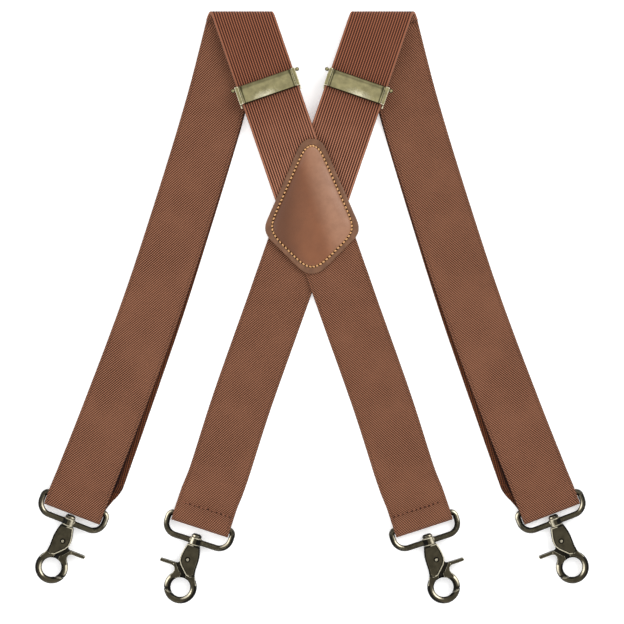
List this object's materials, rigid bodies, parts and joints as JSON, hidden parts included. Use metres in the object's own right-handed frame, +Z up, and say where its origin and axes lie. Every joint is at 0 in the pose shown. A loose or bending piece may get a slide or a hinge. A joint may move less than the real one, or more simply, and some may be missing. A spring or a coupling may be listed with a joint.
{
  "type": "suspenders",
  "caption": "X-back suspenders laid flat: webbing straps, padded leather crossing patch, sliding adjusters and swivel trigger hooks.",
  "frame": {"origin": "middle of the bounding box in plan, on the surface that the suspenders lie on", "axes": "+X to the viewer's right, +Y from the hooks towards the shoulder creases, +Z up off the surface"},
  "size_m": [0.3492, 0.3732, 0.0131],
  "materials": {
    "webbing_ribbed": "ribbed brown webbing",
    "webbing_twill": "fine twill brown webbing",
    "leather": "smooth tan-brown leather, soft sheen",
    "padding": "felt wadding",
    "thread": "waxed tan thread",
    "antique_bronze": "dark antique bronze, rubbed bright on its edges",
    "antique_brass": "mottled antique brass",
    "spring_steel": "drawn spring wire"
  },
  "bodies": {
    "root": {"left_upper_strap": "webbing_ribbed", "right_upper_strap": "webbing_ribbed", "left_front_strap": "webbing_twill", "right_front_strap": "webbing_twill", "left_return_strap": "webbing_twill", "right_return_strap": "webbing_twill", "left_strap_tail": "webbing_twill", "right_strap_tail": "webbing_twill", "left_lower_strap": "webbing_twill", "right_lower_strap": "webbing_twill", "left_hem_stitching": "thread", "right_hem_stitching": "thread", "patch_front": "leather", "patch_padding": "padding", "patch_back": "leather", "patch_stitching": "thread"},
    "front_left_swivel_loop": {"front_left_loop": "antique_bronze"},
    "front_left_snap": {"front_left_hook": "antique_bronze", "front_left_rivet": "antique_bronze"},
    "front_left_lever": {"front_left_trigger": "antique_bronze", "front_left_spring": "spring_steel"},
    "front_right_swivel_loop": {"front_right_loop": "antique_bronze"},
    "front_right_snap": {"front_right_hook": "antique_bronze", "front_right_rivet": "antique_bronze"},
    "front_right_lever": {"front_right_trigger": "antique_bronze", "front_right_spring": "spring_steel"},
    "back_left_swivel_loop": {"back_left_loop": "antique_bronze"},
    "back_left_snap": {"back_left_hook": "antique_bronze", "back_left_rivet": "antique_bronze"},
    "back_left_lever": {"back_left_trigger": "antique_bronze", "back_left_spring": "spring_steel"},
    "back_right_swivel_loop": {"back_right_loop": "antique_bronze"},
    "back_right_snap": {"back_right_hook": "antique_bronze", "back_right_rivet": "antique_bronze"},
    "back_right_lever": {"back_right_trigger": "antique_bronze", "back_right_spring": "spring_steel"},
    "left_adjuster": {"left_adjuster_frame": "antique_brass", "left_hinge_pin": "antique_brass", "left_tail_stitching": "thread"},
    "left_cover": {"left_adjuster_flap": "antique_brass"},
    "right_adjuster": {"right_adjuster_frame": "antique_brass", "right_hinge_pin": "antique_brass", "right_tail_stitching": "thread"},
    "right_cover": {"right_adjuster_flap": "antique_brass"}
  },
  "joints": [
    {"name": "front_left_loop_tilt", "type": "hinge", "parent": "root", "child": "front_left_swivel_loop", "pos_m": [-0.14857, -0.12288, 0.0038], "axis": [0.9336, -0.3584, 0], "range_deg": [-75, 75]},
    {"name": "front_left_swivel", "type": "hinge", "parent": "front_left_swivel_loop", "child": "front_left_snap", "pos_m": [-0.1533, -0.1352, 0.0038], "axis": [-0.3584, -0.9336, 0], "continuous": true},
    {"name": "front_left_trigger", "type": "hinge", "parent": "front_left_snap", "child": "front_left_lever", "pos_m": [-0.15687, -0.14701, 0.0038], "axis": [0, 0, -1], "range_deg": [0, 14], "stiffness_Nm_per_rad": 0.02, "springref_deg": -5.73},
    {"name": "front_right_loop_tilt", "type": "hinge", "parent": "root", "child": "front_right_swivel_loop", "pos_m": [0.14857, -0.12288, 0.0038], "axis": [0.9336, 0.3584, 0], "range_deg": [-75, 75]},
    {"name": "front_right_swivel", "type": "hinge", "parent": "front_right_swivel_loop", "child": "front_right_snap", "pos_m": [0.1533, -0.1352, 0.0038], "axis": [0.3584, -0.9336, 0], "continuous": true},
    {"name": "front_right_trigger", "type": "hinge", "parent": "front_right_snap", "child": "front_right_lever", "pos_m": [0.15687, -0.14701, 0.0038], "axis": [0, 0, 1], "range_deg": [0, 14], "stiffness_Nm_per_rad": 0.02, "springref_deg": -5.73},
    {"name": "back_left_loop_tilt", "type": "hinge", "parent": "root", "child": "back_left_swivel_loop", "pos_m": [-0.06952, -0.13475, 0.0038], "axis": [0.9511, -0.309, 0], "range_deg": [-75, 75]},
    {"name": "back_left_swivel", "type": "hinge", "parent": "back_left_swivel_loop", "child": "back_left_snap", "pos_m": [-0.0736, -0.1473, 0.0038], "axis": [-0.309, -0.9511, 0], "continuous": true},
    {"name": "back_left_trigger", "type": "hinge", "parent": "back_left_snap", "child": "back_left_lever", "pos_m": [-0.07826, -0.15872, 0.0038], "axis": [0, 0, 1], "range_deg": [0, 14], "stiffness_Nm_per_rad": 0.02, "springref_deg": -5.73},
    {"name": "back_right_loop_tilt", "type": "hinge", "parent": "root", "child": "back_right_swivel_loop", "pos_m": [0.06952, -0.13475, 0.0038], "axis": [0.9511, 0.309, 0], "range_deg": [-75, 75]},
    {"name": "back_right_swivel", "type": "hinge", "parent": "back_right_swivel_loop", "child": "back_right_snap", "pos_m": [0.0736, -0.1473, 0.0038], "axis": [0.309, -0.9511, 0], "continuous": true},
    {"name": "back_right_trigger", "type": "hinge", "parent": "back_right_snap", "child": "back_right_lever", "pos_m": [0.07826, -0.15872, 0.0038], "axis": [0, 0, -1], "range_deg": [0, 14], "stiffness_Nm_per_rad": 0.02, "springref_deg": -5.73},
    {"name": "left_adjuster_slide", "type": "slide", "parent": "root", "child": "left_adjuster", "axis": [-0.3244, 0.9459, 0], "range_m": [-0.008, 0.024], "deforming": ["left_strap_tail"]},
    {"name": "left_cover_hinge", "type": "hinge", "parent": "left_adjuster", "child": "left_cover", "pos_m": [-0.02942, 0.14265, 0.0117], "axis": [-0.9459, -0.3244, 0], "range_deg": [0, 110]},
    {"name": "right_adjuster_slide", "type": "slide", "parent": "root", "child": "right_adjuster", "axis": [0.3244, 0.9459, 0], "range_m": [-0.008, 0.024], "deforming": ["right_strap_tail"]},
    {"name": "right_cover_hinge", "type": "hinge", "parent": "right_adjuster", "child": "right_cover", "pos_m": [0.02942, 0.14265, 0.0117], "axis": [-0.9459, 0.3244, 0], "range_deg": [0, 110]}
  ]
}
